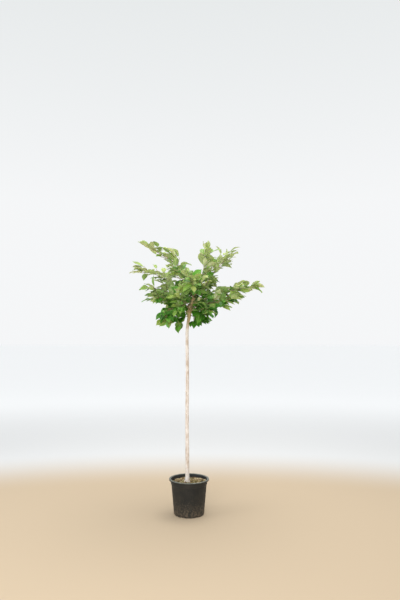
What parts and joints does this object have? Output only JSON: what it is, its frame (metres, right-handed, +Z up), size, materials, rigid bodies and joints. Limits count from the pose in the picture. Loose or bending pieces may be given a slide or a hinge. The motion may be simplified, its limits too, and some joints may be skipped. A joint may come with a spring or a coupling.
{
  "type": "potted flowering cherry",
  "caption": "Young half-standard cherry in leaf, with one clear stem, an open head of slim boughs and leafy shoots, standing in a round nursery pot of mulched compost.",
  "frame": {"origin": "centre of the pot's flat underside, where it stands on the floor", "axes": "+Z up along the stem; -Y towards the pictured front; +X to the picture's right"},
  "size_m": [0.9133, 0.6998, 1.7869],
  "materials": {
    "pot_plastic": "dark grey thin-walled nursery plastic, satin, a little dusty near its foot",
    "mulch": "compost under a loose mulch of straw-coloured wood fibre and bark chips",
    "bark": "smooth pale tan bark with fine lengthwise cracks and level corky lines, browner in the head",
    "leaf": "glossy mid to dark green blades, yellow-green at the shoot tips"
  },
  "bodies": {
    "root": {"bough_back_left": "bark", "bough_back_low_left": "bark", "bough_back_low_right": "bark", "bough_back_right": "bark", "bough_front_high": "bark", "bough_front_left": "bark", "bough_front_low": "bark", "bough_front_right": "bark", "bough_high_left": "bark", "bough_high_right": "bark", "bough_left": "bark", "bough_low_left": "bark", "bough_low_right": "bark", "bough_mid_left": "bark", "bough_right": "bark", "bough_top": "bark", "foliage_back_left": "leaf", "foliage_back_low_left": "leaf", "foliage_back_low_right": "leaf", "foliage_back_right": "leaf", "foliage_front_high": "leaf", "foliage_front_left": "leaf", "foliage_front_low": "leaf", "foliage_front_right": "leaf", "foliage_high_left": "leaf", "foliage_high_right": "leaf", "foliage_left": "leaf", "foliage_low_left": "leaf", "foliage_low_right": "leaf", "foliage_mid_left": "leaf", "foliage_right": "leaf", "foliage_top": "leaf", "foliage_tuft_left": "leaf", "foliage_tuft_right": "leaf", "pot": "pot_plastic", "soil": "mulch", "trunk": "bark"}
  },
  "joints": []
}
